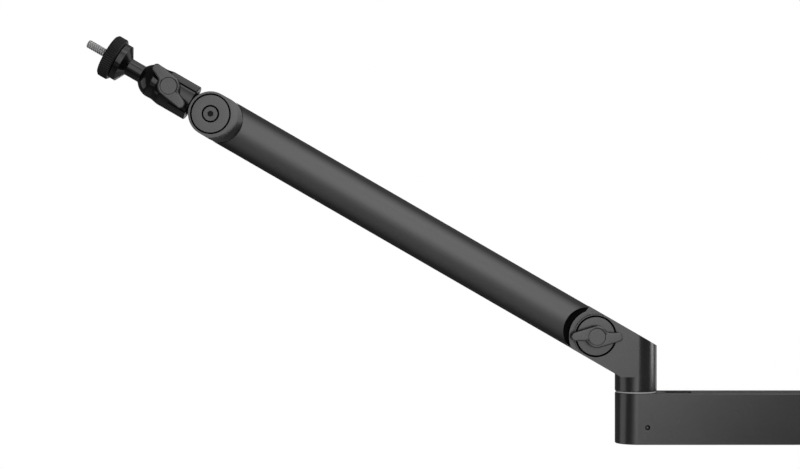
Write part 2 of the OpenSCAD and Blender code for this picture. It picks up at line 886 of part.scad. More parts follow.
// A wheel with a straight knurl on its rim
module lock_wheel() {
    r = wheel_d / 2;
    depth = 0.55;
    t = wheel_end - wheel_start;
    step = 180 / knurls;
    color(dark) at_tip() outward() translate([0, 0, wheel_start]) difference() {
        intersection() {
            linear_extrude(t) polygon([for (i = [0:2 * knurls - 1])
                (r - depth * (i % 2)) * [cos(i * step), sin(i * step)]]);
            rotate_extrude() polygon([[0, 0], [r - 1.1, 0], [r, 1.1], [r, t - 1.3], [r - 1.3, t], [0, t]]);
        }
        translate([0, 0, -1]) cylinder(r = 5 + fit, h = t);
        translate([0, 0, -1]) cylinder(r = stud_r + 0.2, h = t + 2);
    }
}

module wheel_insert() {
    color(brass) at_tip() outward() ring(stud_r + fit, 5, wheel_start + 0.1, wheel_end - 1.1);
}

clamp_bracket();
upper_jaw_pad();
base_bushing();
base_washer();
base_set_screw();
clamp_foot();
foot_pad();
foot_ring();
clamp_screw();
clamp_knob();
lower_arm();
base_spindle();
spindle_set_screw();
elbow_bushing();
elbow_washer();
elbow_set_screw();
lower_magnets();
lower_channel_cover();
elbow_yoke();
elbow_spindle();
yoke_set_screw();
elbow_front_disc();
elbow_rear_disc();
elbow_bolt();
elbow_friction_washers();
elbow_knob_washer();
elbow_knob();
elbow_knob_cap();
elbow_knob_insert();
lower_knuckle();
upper_tube();
upper_fork();
tube_screws();
upper_magnets();
tip_front_disc();
tip_rear_disc();
tip_bolt();
tip_nut();
tip_friction_washers();
upper_channel_cover();
tip_knuckle();
head_housing();
backing_plug();
ball_cup();
head_knob();
head_knob_cap();
head_screw();
ball();
stem();
mic_stud();
lock_wheel();
wheel_insert();
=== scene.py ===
"""Looks of a low-profile microphone boom arm: satin black metal, a glossy ball head, a bright stud."""
import math

import bmesh
import bpy
from mathutils import Matrix, Vector


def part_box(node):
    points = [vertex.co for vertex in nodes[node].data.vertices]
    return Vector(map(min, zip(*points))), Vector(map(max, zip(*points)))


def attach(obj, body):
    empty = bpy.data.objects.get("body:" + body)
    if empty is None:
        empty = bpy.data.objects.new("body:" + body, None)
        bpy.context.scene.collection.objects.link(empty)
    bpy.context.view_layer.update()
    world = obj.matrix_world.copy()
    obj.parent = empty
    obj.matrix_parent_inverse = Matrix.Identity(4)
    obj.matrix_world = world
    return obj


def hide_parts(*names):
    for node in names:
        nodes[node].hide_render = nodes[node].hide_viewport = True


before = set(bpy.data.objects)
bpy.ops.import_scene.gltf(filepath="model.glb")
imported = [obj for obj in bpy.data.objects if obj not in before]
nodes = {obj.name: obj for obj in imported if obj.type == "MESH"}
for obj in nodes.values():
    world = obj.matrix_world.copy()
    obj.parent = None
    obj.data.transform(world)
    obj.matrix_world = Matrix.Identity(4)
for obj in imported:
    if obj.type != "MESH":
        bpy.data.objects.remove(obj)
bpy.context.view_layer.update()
MM = 0.001
ORIGIN = Vector((0, 0, 0))
AWAY = Vector((0, 1, 0))
UP = Vector((0, 0, 1))

# Camera: level, looking along +Y, at the distance where the tube spans its place in the picture
CAMERA_PLACE = (-0.5097, -1.360, 0.1809)
CAMERA_TURN = (math.pi / 2, 0, 0)
CAMERA_LENS = 85
CAMERA_SENSOR = 36

# The lamps. Angles are in degrees, azimuth 0 is toward the camera and 90 is toward +X.
# A lamp looks white when its energy is this many watts for each square metre of it. The key
# is a leaning arch of panels: its levels go from below the front, over the top, to the rear
ENERGY_FOR_WHITE = 4
AIM = Vector((-0.45, 0.0, 0.15))
LAMP_DISTANCE = 2.2
KEY_LEAN = 27
KEY_TURN = -2.6
KEY_WIDTH = 33
KEY_STEP = 10
KEY_FIRST = -25
KEY_LEVELS = (
    0.5, 0.2, 2.0, 2.7, 2.7, 2.7, 2.2, 1.7, 1.2,
    2.6, 2.9, 1.6, 1.4, 1.4, 0.9, 0.9, 0.6, 0.6,
)
SIDE_PANELS = {
    "left_panel": {"azimuth": -82, "elevation": -2, "width": 38, "height": 44, "level": 1.0},
    "right_strip": {"azimuth": 95, "elevation": -4, "width": 20, "height": 52, "level": 3.6},
    "rear_strip": {"azimuth": 132, "elevation": -5, "width": 16, "height": 90, "level": 0.7},
    "rear_panel": {"azimuth": 162, "elevation": -10, "width": 36, "height": 24, "level": 1.5},
}

# The room, and the cosine to +Y from which a mirrored ray meets the white backdrop
ROOM_LEVEL = 0.12
BACKDROP_EDGE = (0.93, 0.99)

# The floor, in metres. It lies below the steepest slope that the upper arm reaches
FLOOR_RADIUS = 1.6
FLOOR_SIDES = 96
FLOOR_CLEARANCE = 0.03
LOWEST_SLOPE = math.radians(60)
FLOOR_FADE = (0.6, 1.05)
FLOOR_COVER = 0.6
MOTTLE_SIZE = 0.12
FLOOR_PALE = 0.8
FLOOR_DARKER = 0.78

# Directions of the upper arm
TILT = math.radians(30)
OUTWARD = Vector((-math.cos(TILT), 0, math.sin(TILT)))
TUBE_UP = Vector((math.sin(TILT), 0, math.cos(TILT)))


def middle(node):
    """The middle of a node's box."""
    return (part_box(node)[0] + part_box(node)[1]) / 2


def pivot(disc):
    """The point of a disc's axis in the arm's middle plane."""
    at = middle(disc)
    return Vector((at.x, 0, at.z))


ELBOW_PIVOT = pivot("elbow_front_disc")
TIP_PIVOT = pivot("tip_front_disc")
FRONT_FACE_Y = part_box("elbow_front_disc")[0].y
ELBOW_POST = Vector((middle("elbow_washer").x, 0, 0))

# Ring grooves with painted shade, mixed toward matt black: axis, inner radius, outer radius
GROOVE_EDGE = 0.06 * MM
SHADED_GROOVES = [
    (ELBOW_PIVOT, 13.65 * MM, 14.9 * MM),
    (TIP_PIVOT, 13.5 * MM, 14.5 * MM),
    (TIP_PIVOT, 4.98 * MM, 6.18 * MM),
    (middle("elbow_set_screw"), 1.3 * MM, 1.75 * MM),
]
# Painted shade in the ring groove round each knob's cap: its radii, and how far toward matt black it goes
CAP_GROOVE = (5.75 * MM, 6.2 * MM)
CAP_GROOVE_SHADE = 0.6

# The fork's band round the tip disc: its inner radius, how far below the tip's pivot it
# begins to fall away and falls fully, and its slope
BAND_START = 17.0 * MM
BAND_LOWER = (5 * MM, 16 * MM)
BAND_FALL = 0.13

# Where sheen dies away: at grazing views, in parts of 1 from straight on to edge-on. The ball
# housing's end face, which lies this far out from the tip's pivot, is mixed toward matt black as painted
# shade
COAT_SHEEN_END = (0.6, 0.93)
COAT_SHEEN_LOSS = 0.9
TUBE_SHEEN_END = (0.06, 0.55)
TUBE_SHEEN_LOSS = 0.78
GLOSS_FADE = (0.3, 0.9)
GLOSS_FADE_LOSS = 0.5
GLOSS_END = (0.8, 0.94)
GLOSS_END_LOSS = 0.95
HOUSING_END = (17.0 * MM, 17.2 * MM)
HOUSING_END_PAINTED_SHADE = 0.85

# Details of the coats and screws. A range of noise is where a speck or patch begins and is full.
# The tube's length is squeezed by its stretch, which turns noise into lines along it. A screw's
# socket gets painted shade, toward matt black, with depth behind the screw's face, and the tip's screw
# lies sunk in its disc
CLOUD_EDGES = (0.3, 0.7)
COAT_MOTTLE = 0.06
DUST_SPECKS = (0.66, 0.74)
DUST_GREY = 0.09
DUST_COVER = 0.1
TUBE_STRETCH = 0.02
SMEARS = (0.45, 0.75)
SOCKET_DEEP = (0.25 * MM, 0.45 * MM)
SOCKET_SHADE = 0.88
TIP_SCREW_SINK = 0.1 * MM
SET_SCREW_RIM = (0.75 * MM, 0.85 * MM)
PLATING_SPOTS = (0.6, 0.75)
TARNISH_PATCHES = (0.35, 0.75)
CLEAN_BRASS = (0.62, 0.42, 0.16, 1)
TARNISHED_BRASS = (0.34, 0.21, 0.08, 1)
RUBBER_CREASE = (0.0, 0.18)
WORN_PATCHES = (0.5, 0.8)
METAL = {"Metallic": 1.0}
# The matt black toward which lost sheen and painted shade are mixed
MATT_BLACK = {"Base Color": (0.004, 0.004, 0.004, 1), "Roughness": 0.8, "Specular IOR Level": 0.05}

# Places of the colour sockets among the Mix node's inputs and outputs
MIX_FIRST = 6
MIX_SECOND = 7
MIX_RESULT = 2


class Field:
    """A number that varies over a surface. Arithmetic on it adds Math nodes."""

    def __init__(self, shader, socket):
        self.shader = shader
        self.socket = socket

    def calculate(self, operation, first, second=0.0):
        return self.shader.node("ShaderNodeMath", {"operation": operation}, {0: first, 1: second})

    def __add__(self, other):
        return self.calculate("ADD", self, other)

    __radd__ = __add__

    def __sub__(self, other):
        return self.calculate("SUBTRACT", self, other)

    def __rsub__(self, other):
        return self.calculate("SUBTRACT", other, self)

    def __mul__(self, other):
        return self.calculate("MULTIPLY", self, other)

    __rmul__ = __mul__

    def larger(self, other):
        return self.calculate("MAXIMUM", self, other)

    def ridges(self, pitch):
        """A sine wave from -1 to 1, with one crest in each pitch."""
        return self.calculate("SINE", self * (2 * math.pi / pitch))

    def swing(self, width):
        """Noise of 0 to 1, made to swing evenly round 0 over the given width."""
        return width * (self - 0.5)

    def step(self, low, high):
        """0 below low, 1 above high and smooth between them."""
        ends = {"Value": self, "From Min": low, "From Max": high}
        return self.shader.node("ShaderNodeMapRange", {"interpolation_type": "SMOOTHSTEP"}, ends)


class Shader:
    """The nodes of one finish, of the floor or of the world."""

    def __init__(self, owner):
        owner.use_nodes = True
        self.owner = owner
        self.tree = owner.node_tree
        self.tree.nodes.clear()

    def node(self, kind, settings=None, sockets=None, out=0):
        """Adds a node with its settings, then the values or links of its sockets."""
        made = self.tree.nodes.new(kind)
        for name, value in (settings or {}).items():
            setattr(made, name, value)
        for name, value in (sockets or {}).items():
            if isinstance(value, Field):
                self.tree.links.new(value.socket, made.inputs[name])
            else:
                made.inputs[name].default_value = value
        return Field(self, made.outputs[out]) if made.outputs else None

    def place(self):
        """Position on the piece at rest, in metres."""
        return self.node("ShaderNodeTexCoord", out="Object")

    def noise(self, size, detail, place=None):
        """Noise from 0 to 1 with features of about the given size in metres."""
        sockets = {"Vector": place or self.place(), "Scale": 1 / size, "Detail": detail}
        return self.node("ShaderNodeTexNoise", None, sockets, out="Fac")

    def cells(self, size):
        """Distance to the nearest edge between cells of a size in metres, in parts of that size."""
        sockets = {"Vector": self.place(), "Scale": 1 / size}
        return self.node("ShaderNodeTexVoronoi", {"feature": "DISTANCE_TO_EDGE"}, sockets)

    def vector(self, operation, first, second, out):
        """Adds a Vector Math node with two inputs."""
        return self.node("ShaderNodeVectorMath", {"operation": operation}, {0: first, 1: second}, out)

    def along(self, origin, direction):
        """Distance from a point along a direction."""
        off = self.vector("SUBTRACT", self.place(), origin, "Vector")
        return self.vector("DOT_PRODUCT", off, direction, "Value")

    def off_axis(self, origin, direction):
        """Distance from a line."""
        off = self.vector("SUBTRACT", self.place(), origin, "Vector")
        cross = self.vector("CROSS_PRODUCT", off, direction, "Vector")
        return self.node("ShaderNodeVectorMath", {"operation": "LENGTH"}, {0: cross}, "Value")

    def turning(self, origin, axis, pitch):
        """Lines left by a lathe, round the sides and the end faces of a turned piece."""
        return (self.along(origin, axis) + self.off_axis(origin, axis)).ridges(pitch)

    def blend(self, factor, first, second):
        """Mixes two colours."""
        sockets = {"Factor": factor, MIX_FIRST: first, MIX_SECOND: second}
        return self.node("ShaderNodeMix", {"data_type": "RGBA"}, sockets, MIX_RESULT)

    def bump(self, height, depth, strength=1.0, below=None):
        """A normal from a height field, where depth is the height of a full step in metres."""
        sockets = {"Height": height, "Distance": depth, "Strength": strength}
        if below:
            sockets["Normal"] = below
        return self.node("ShaderNodeBump", None, sockets)

    def grazing(self, low, high):
        """0 where the surface is seen straighter on than low, 1 where it is nearer edge-on than high."""
        return self.node("ShaderNodeLayerWeight", None, {"Blend": 0.5}, "Facing").step(low, high)

    def surface(self, colour, gloss, normal=None, sheen_loss_and_painted_shade=None, others=None):
        """The finished surface of a material. Where its matt mix factor is 1 it is matt black; that
        factor carries both sheen lost at grazing views and painted shade in grooves, sockets and end
        faces.
        """
        sockets = {"Base Color": colour, "Roughness": gloss, **(others or {})}
        if normal:
            sockets["Normal"] = normal
        body = self.node("ShaderNodeBsdfPrincipled", None, sockets)
        if sheen_loss_and_painted_shade:
            matt = self.node("ShaderNodeBsdfPrincipled", None, MATT_BLACK)
            body = self.node("ShaderNodeMixShader", None, {0: sheen_loss_and_painted_shade, 1: body, 2: matt})
        self.node("ShaderNodeOutputMaterial", None, {"Surface": body})
        return self.owner


def grey(level, warm=0.0):
    """A neutral colour with a slight tint."""
    return (level * (1 + warm), level, level * (1 - warm), 1)


def new_shader(name):
    return Shader(bpy.data.materials.new(name))


# Finishes. A gloss is a roughness: a base, and what each texture adds to it

def groove(s, origin, inner, outer):
    """1 inside a ring-shaped groove round an axis along Y, and 0 elsewhere."""
    out = s.off_axis(origin, AWAY)
    return out.step(inner - GROOVE_EDGE, inner) * (1 - out.step(outer, outer + GROOVE_EDGE))


def fork_band(s):
    """Height of the fork's band round the tip disc, which falls away further on its lower side."""
    out = (s.off_axis(TIP_PIVOT, AWAY) - BAND_START).larger(0)
    lower = s.along(TIP_PIVOT, -UP).step(*BAND_LOWER)
    return out * lower * -BAND_FALL


def satin_black(name, level=0.012, rough=0.23, grain=0.35 * MM, grooves=(), groove_shade=1.0, form=None):
    """Fine satin powder coat on aluminium: even colour, tiny grain, faint cloudiness in its gloss."""
    s = new_shader(name)
    fine = s.noise(size=grain, detail=3)
    cloud = s.noise(size=22 * MM, detail=4)
    peel = s.noise(size=2.2 * MM, detail=1)
    dust = s.noise(size=0.9 * MM, detail=2).step(*DUST_SPECKS)
    darker = grey(level * (1 - COAT_MOTTLE))
    lighter = grey(level * (1 + COAT_MOTTLE))
    colour = s.blend(cloud.step(*CLOUD_EDGES), darker, lighter)
    colour = s.blend(dust * DUST_COVER, colour, grey(DUST_GREY))
    gloss = rough + 0.04 * cloud + fine.swing(0.05)
    shape = s.bump(form(s), depth=1.0) if form else None
    normal = s.bump(peel, depth=0.006 * MM, strength=0.5, below=shape)
    normal = s.bump(fine, depth=0.004 * MM, strength=0.6, below=normal)
    sheen_loss_and_painted_shade = s.grazing(*COAT_SHEEN_END) * COAT_SHEEN_LOSS
    # Painted shade: each listed groove is mixed toward matt black
    for place in grooves:
        sheen_loss_and_painted_shade = sheen_loss_and_painted_shade.larger(groove(s, *place) * groove_shade)
    return s.surface(colour, gloss, normal, sheen_loss_and_painted_shade, {"IOR": 1.5})


def drawn_tube(name):
    """The same coat on the drawn tube, with very faint lines along its length."""
    s = new_shader(name)
    length = s.along(ELBOW_PIVOT, OUTWARD)
    height = s.along(ELBOW_PIVOT, TUBE_UP)
    depth = s.along(ELBOW_PIVOT, AWAY)
    place = s.node("ShaderNodeCombineXYZ", None, {0: length * TUBE_STRETCH, 1: height, 2: depth})
    lines = s.noise(size=0.5 * MM, detail=2, place=place)
    fine = s.noise(size=0.35 * MM, detail=3)
    cloud = s.noise(size=30 * MM, detail=3)
    colour = s.blend(cloud.step(*CLOUD_EDGES), grey(0.019), grey(0.021))
    gloss = 0.5 + 0.03 * cloud + lines.swing(0.03) + fine.swing(0.04)
    normal = s.bump(lines, depth=0.003 * MM, strength=0.4)
    normal = s.bump(fine, depth=0.004 * MM, strength=0.5, below=normal)
    sheen_loss_and_painted_shade = s.grazing(*TUBE_SHEEN_END) * TUBE_SHEEN_LOSS
    return s.surface(colour, gloss, normal, sheen_loss_and_painted_shade, {"IOR": 1.76})


def gloss_black(name):
    """Smooth glossy black of the ball head, with faint turning lines round its axis."""
    s = new_shader(name)
    length = s.along(TIP_PIVOT, OUTWARD)
    cloud = s.noise(size=9 * MM, detail=3)
    smear = s.noise(size=3 * MM, detail=4).step(*SMEARS)
    colour = s.blend(cloud, grey(0.002), grey(0.004))
    gloss = 0.12 + 0.03 * cloud + 0.04 * smear
    normal = s.bump(length.ridges(pitch=0.22 * MM), depth=0.0012 * MM, strength=0.4)
    fade = s.grazing(*GLOSS_FADE) * GLOSS_FADE_LOSS
    sheen_loss_and_painted_shade = fade.larger(s.grazing(*GLOSS_END) * GLOSS_END_LOSS)
    # Painted shade: the housing's end face is mixed toward matt black
    sheen_loss_and_painted_shade = sheen_loss_and_painted_shade.larger(HOUSING_END_PAINTED_SHADE - HOUSING_END_PAINTED_SHADE * length.step(*HOUSING_END))
    return s.surface(colour, gloss, normal, sheen_loss_and_painted_shade, {"IOR": 1.36})


def dark_metal(name, origin, axis, level=0.02, rough=0.3):
    """Blackened metal with turning lines and a slight sheen."""
    s = new_shader(name)
    cloud = s.noise(size=6 * MM, detail=4)
    fine = s.noise(size=0.3 * MM, detail=2)
    colour = s.blend(cloud, grey(level), grey(level * 1.5, warm=0.03))
    gloss = rough + 0.08 * cloud + fine.swing(0.05)
    normal = s.bump(s.turning(origin, axis, pitch=0.3 * MM), depth=0.003 * MM, strength=0.5)
    return s.surface(colour, gloss, normal, others={"IOR": 1.3})


def gap_shade_black(name, origin, axis):
    """Anodised black knuckles, made near black with almost no sheen as painted shade of the gaps they lie
    in.
    """
    s = new_shader(name)
    cloud = s.noise(size=5 * MM, detail=3)
    # Painted shade: near black colour and almost no sheen
    colour = s.blend(cloud, grey(0.0015), grey(0.0025))
    gloss = 0.6 + 0.12 * cloud
    normal = s.bump(s.off_axis(origin, axis).ridges(pitch=0.4 * MM), depth=0.004 * MM, strength=0.5)
    return s.surface(colour, gloss, normal, others={"Specular IOR Level": 0.04})


def socket_screw(name, origin, face):
    """A black screw seen from the front: its head is metal, and its socket has painted shade behind the
    face.
    """
    s = new_shader(name)
    cloud = s.noise(size=2 * MM, detail=3)
    colour = s.blend(cloud, grey(0.03), grey(0.045, warm=0.02))
    gloss = 0.28 + 0.1 * cloud
    normal = s.bump(s.off_axis(origin, AWAY).ridges(pitch=0.25 * MM), depth=0.003 * MM, strength=0.5)
    # Painted shade, deepening into the socket
    behind = s.along(AWAY * face, AWAY).step(*SOCKET_DEEP) * SOCKET_SHADE
    return s.surface(colour, gloss, normal, behind, {"Metallic": 0.2})


def set_screw(name, origin):
    """A blackened set screw in its hole: painted shade at the rim, round a floor painted mid grey as a
    painted highlight in its socket.
    """
    s = new_shader(name)
    cloud = s.noise(size=0.8 * MM, detail=3)
    # Painted shade at the rim of the hole
    rim = s.off_axis(origin, AWAY).step(*SET_SCREW_RIM)
    # Painted highlight: the blackened screw is given a mid grey
    colour = s.blend(cloud, grey(0.2), grey(0.3, warm=0.02))
    return s.surface(colour, 0.4 + 0.1 * cloud, sheen_loss_and_painted_shade=rim)


def bright_steel(name, origin, axis, level=0.55, rough=0.22):
    """Nickel plated steel with turning lines and small matt spots."""
    s = new_shader(name)
    cloud = s.noise(size=5 * MM, detail=4)
    spots = s.noise(size=1.1 * MM, detail=3).step(*PLATING_SPOTS)
    colour = s.blend(cloud, grey(level), grey(level * 1.15, warm=0.02))
    gloss = rough + 0.1 * spots + 0.05 * cloud
    normal = s.bump(s.turning(origin, axis, pitch=0.25 * MM), depth=0.002 * MM, strength=0.5)
    return s.surface(colour, gloss, normal, others=METAL)


def warm_brass(name, origin, axis):
    """Turned brass, a little tarnished."""
    s = new_shader(name)
    tarnish = s.noise(size=3 * MM, detail=4).step(*TARNISH_PATCHES)
    colour = s.blend(tarnish, CLEAN_BRASS, TARNISHED_BRASS)
    gloss = 0.24 + 0.16 * tarnish
    normal = s.bump(s.along(origin, axis).ridges(pitch=0.3 * MM), depth=0.003 * MM, strength=0.5)
    return s.surface(colour, gloss, normal, others=METAL)


def black_rubber(name):
    """Matt rubber with a leathery moulded grain."""
    s = new_shader(name)
    cloud = s.noise(size=7 * MM, detail=3)
    colour = s.blend(cloud, grey(0.014), grey(0.028))
    gloss = 0.72 + 0.12 * cloud
    creases = s.cells(size=0.9 * MM).step(*RUBBER_CREASE)
    return s.surface(colour, gloss, s.bump(creases, depth=0.04 * MM, strength=0.7))


def grained_plastic(name):
    """Black moulded plastic with a spark-eroded grain, worn smoother in places."""
    s = new_shader(name)
    grain = s.noise(size=0.6 * MM, detail=4)
    worn = s.noise(size=14 * MM, detail=2).step(*WORN_PATCHES)
    colour = s.blend(worn, grey(0.02), grey(0.014))
    gloss = 0.5 - 0.12 * worn + grain.swing(0.06)
    return s.surface(colour, gloss, s.bump(grain, depth=0.03 * MM, strength=0.5))


def pale_nylon(name):
    """Grey acetal of the thrust washers and bushings."""
    s = new_shader(name)
    cloud = s.noise(size=4 * MM, detail=4)
    fine = s.noise(size=0.4 * MM, detail=2)
    colour = s.blend(cloud, grey(0.3), grey(0.38, warm=0.01))
    gloss = 0.42 + 0.1 * cloud
    return s.surface(colour, gloss, s.bump(fine, depth=0.006 * MM, strength=0.5))


def dress(material, *pieces):
    """Gives nodes, by name, or pieces of the scene a material in every slot."""
    for piece in pieces:
        if isinstance(piece, str):
            piece = nodes[piece]
        if not piece.data.materials:
            piece.data.materials.append(material)
        for i in range(len(piece.data.materials)):
            piece.data.materials[i] = material


# Edges

WELD_DISTANCE = 0.002 * MM
SHARP_EDGE = math.radians(32)
FACE_WEIGHT = 80


def round_edges(width, *names, segments=2):
    """Small machined radii on the sharp edges of carried-over nodes."""
    for name in names:
        piece = nodes[name]
        weld = piece.modifiers.new("joined_faces", "WELD")
        weld.merge_threshold = WELD_DISTANCE
        bevel = piece.modifiers.new("edge_radius", "BEVEL")
        bevel.width = width
        bevel.segments = segments
        bevel.limit_method = "ANGLE"
        bevel.angle_limit = SHARP_EDGE
        bevel.miter_outer = "MITER_ARC"
        flat_faces(piece)


def flat_faces(piece):
    """Keeps large faces flat in the shading, next to narrow radii."""
    normals = piece.modifiers.new("flat_faces", "WEIGHTED_NORMAL")
    normals.keep_sharp = False
    normals.weight = FACE_WEIGHT


# Meshes. Edges sharper than these angles, in degrees, stay sharp in the shading

SHARP_ANGLE = 30
THREAD_SHARP_ANGLE = 50


def bridge(mesh, first, second):
    """Quads between two closed loops with the same number of points."""
    count = len(first)
    for i in range(count):
        j = (i + 1) % count
        mesh.faces.new((first[i], first[j], second[j], second[i]))


def finish_mesh(mesh, name, sharp):
    """Makes an object of a bmesh, smooth except at edges over the given angle in degrees."""
    data = bpy.data.meshes.new(name)
    mesh.to_mesh(data)
    mesh.free()
    data.shade_smooth()
    data.set_sharp_from_angle(angle=math.radians(sharp))
    piece = bpy.data.objects.new(name, data)
    bpy.context.scene.collection.objects.link(piece)
    return piece


def skin(name, loops, sharp):
    """A closed piece over a stack of loops, each with the same number of points."""
    mesh = bmesh.new()
    rings = [[mesh.verts.new(p) for p in points] for points in loops]
    mesh.faces.new(rings[0])
    for first, second in zip(rings, rings[1:]):
        bridge(mesh, second, first)
    mesh.faces.new(list(reversed(rings[-1])))
    bmesh.ops.recalc_face_normals(mesh, faces=mesh.faces)
    return finish_mesh(mesh, name, sharp)


# Wing knobs, whose rims are rounded at the front and less at the back

KNOB_LENGTH = 36.5 * MM
HUB_RADIUS = 7.83 * MM
TIP_RADIUS = 3.2 * MM
WING_LOW = 2.95 * MM
FILLET = 2.6 * MM
RIM_RADIUS = 0.8 * MM
BACK_RIM_RADIUS = 0.48 * MM
RIM_STEPS = 4
RECESS_RADIUS = 6.05 * MM
RECESS_DEPTH = 1.2 * MM
RECESS_DRAFT = 0.01 * MM
RECESS_CHAMFER = 0.12 * MM
SOCKET_RADIUS = 5.5 * MM
SOCKET_DEPTH = 2 * MM
HEAD_KNOB_TURN = math.radians(56)


def arc(centre, radius, start, stop, steps, inward=False):
    """Points on an arc, each with the outline's outward normal."""
    out = []
    for i in range(steps + 1):
        a = start + (stop - start) * i / steps
        n = Vector((math.cos(a), math.sin(a)))
        out.append((centre + n * radius, -n if inward else n))
    return out


def line(start, stop, normal, steps):
    """Points strictly between two ends of a straight edge."""
    return [(start.lerp(stop, i / steps), normal) for i in range(1, steps)]


def knob_outline():
    """A hub with two wings, one half after the other, as points with normals. Each end of the
    hub's arc belongs to the edge beside it."""
    hub = Vector((0, 0))
    tip = Vector((-KNOB_LENGTH / 2 + TIP_RADIUS, TIP_RADIUS - WING_LOW))
    slope = math.atan2(tip.y, tip.x) - math.acos((HUB_RADIUS - TIP_RADIUS) / tip.length)
    side = Vector((math.cos(slope), math.sin(slope)))
    fillet_y = -WING_LOW - FILLET
    fillet_x = -math.sqrt((HUB_RADIUS + FILLET) ** 2 - fillet_y ** 2)
    fillet = Vector((fillet_x, fillet_y))
    hub_at = math.atan2(fillet_y, fillet_x)
    down = Vector((0, -1))
    half = [(side * HUB_RADIUS, side)]
    half += line(side * HUB_RADIUS, tip + side * TIP_RADIUS, side, steps=14)
    half += arc(tip, TIP_RADIUS, slope, math.pi * 3 / 2, steps=18)
    half += line(Vector((tip.x, -WING_LOW)), Vector((fillet_x, -WING_LOW)), down, steps=7)
    half += arc(fillet, FILLET, math.pi / 2, hub_at + math.pi, steps=8, inward=True)
    half += arc(hub, HUB_RADIUS, hub_at, slope - math.pi, steps=22)[1:-1]
    return half + [(-p, -n) for p, n in half]


def wing_knob(name, node, turn, body):
    """A cast wing knob with rounded rims, an open recess for its cap and a socket at its back."""
    low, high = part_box(node)
    centre = (low + high) / 2
    thick = high.y - low.y
    spin = Matrix.Rotation(turn, 3, "Y")
    outline = knob_outline()

    def place(flat, depth):
        """A point of the outline's plane, at a depth from the front face."""
        at = spin @ Vector((flat.x, 0, flat.y))
        return Vector((centre.x + at.x, low.y + depth, centre.z + at.z))

    def ring(inset, depth):
        """The outline, moved inward by inset."""
        return [place(p - n * inset, depth) for p, n in outline]

    def circle(radius, depth):
        """A circle with as many points as the outline."""
        return [place(p.normalized() * radius, depth) for p, _ in outline]

    loops = [
        circle(RECESS_RADIUS - RECESS_DRAFT, RECESS_DEPTH),
        circle(RECESS_RADIUS, RECESS_CHAMFER),
        circle(RECESS_RADIUS + RECESS_CHAMFER, 0),
    ]
    quarter = [math.pi / 2 * i / RIM_STEPS for i in range(RIM_STEPS + 1)]
    for a in quarter:
        loops.append(ring(RIM_RADIUS * (1 - math.sin(a)), RIM_RADIUS * (1 - math.cos(a))))
    for a in quarter:
        depth = thick - BACK_RIM_RADIUS * (1 - math.sin(a))
        loops.append(ring(BACK_RIM_RADIUS * (1 - math.cos(a)), depth))
    loops += [circle(SOCKET_RADIUS, thick), circle(SOCKET_RADIUS, thick - SOCKET_DEPTH)]
    piece = skin(name, loops, SHARP_ANGLE)
    flat_faces(piece)
    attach(piece, body)
    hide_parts(node)
    return piece


# Threads. A stretch of a rod is (from, to, radius, threaded), in metres from the rod's start

ROD_SIDES = 48
RINGS_PER_TURN = 10
ROOT_FLAT = 0.2
STUD_RADIUS = 3.175 * MM
STUD_PITCH = 1.6 * MM
STUD_DEPTH = 0.4 * MM
STUD_CORE = STUD_RADIUS - STUD_DEPTH
STUD_POINT = 2.425 * MM
STUD_TO = 103.3 * MM
STUD_STRETCHES = [
    (66.5 * MM, 86.4 * MM, STUD_CORE, False),
    (86.5 * MM, 102.4 * MM, STUD_RADIUS, True),
    (102.6 * MM, 102.85 * MM, STUD_CORE, False),
    (103.2 * MM, STUD_TO, STUD_POINT, False),
]

# The clamp's screw: its places from its lower end, and then from its upper end
SCREW_RADIUS = 5 * MM
SCREW_SEAT_RADIUS = 4.2 * MM
SCREW_NECK_RADIUS = 4.1 * MM
SCREW_POINT = 3.7 * MM
SCREW_PITCH = 1.5 * MM
SCREW_DEPTH = 0.81 * MM
SEAT_TO = 3 * MM
THREAD_FROM = 3.2 * MM
THREAD_TO = 12 * MM
NECK_FROM = 11.6 * MM
NECK_TO = 0.5 * MM
POINT_FROM = 0.1 * MM


def threaded_rod(name, node, body, start, axis, stretches, depth, pitch):
    """A steel rod along an axis, with a helical thread of the given depth on its threaded stretch."""
    side = axis.orthogonal().normalized()
    other = axis.cross(side)
    flank = (1 - ROOT_FLAT) / 2

    def cut(at, turn):
        """Depth of the thread at a place along the rod and a part of a turn round it."""
        phase = (at / pitch - turn) % 1
        return depth * min(1, (0.5 - abs(phase - 0.5)) / flank)

    def loop(at, radius, threaded):
        points = []
        for i in range(ROD_SIDES):
            turn = i / ROD_SIDES
            a = 2 * math.pi * turn
            r = radius - cut(at, turn) if threaded else radius
            points.append(start + axis * at + (side * math.cos(a) + other * math.sin(a)) * r)
        return points

    loops = []
    for begin, end, radius, threaded in stretches:
        steps = round((end - begin) / pitch * RINGS_PER_TURN) if threaded else 1
        for i in range(steps + 1):
            loops.append(loop(begin + (end - begin) * i / steps, radius, threaded))
    piece = skin(name, loops, THREAD_SHARP_ANGLE)
    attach(piece, body)
    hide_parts(node)
    return piece


def microphone_stud():
    """The bright camera-thread stud."""
    return threaded_rod("threaded_stud", "mic_stud", "stem_body", TIP_PIVOT, OUTWARD,
                        STUD_STRETCHES, STUD_DEPTH, STUD_PITCH)


def clamp_spindle():
    """The clamp's screw, threaded between its seat in the knob and the neck that turns in the foot."""
    low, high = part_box("clamp_screw")
    top = high.z - low.z
    stretches = [
        (0, SEAT_TO, SCREW_SEAT_RADIUS, False),
        (THREAD_FROM, top - THREAD_TO, SCREW_RADIUS, True),
        (top - NECK_FROM, top - NECK_TO, SCREW_NECK_RADIUS, False),
        (top - POINT_FROM, top, SCREW_POINT, False),
    ]
    return threaded_rod("threaded_clamp_screw", "clamp_screw", "screw_body", UP * low.z, UP,
                        stretches, SCREW_DEPTH, SCREW_PITCH)


# The studio

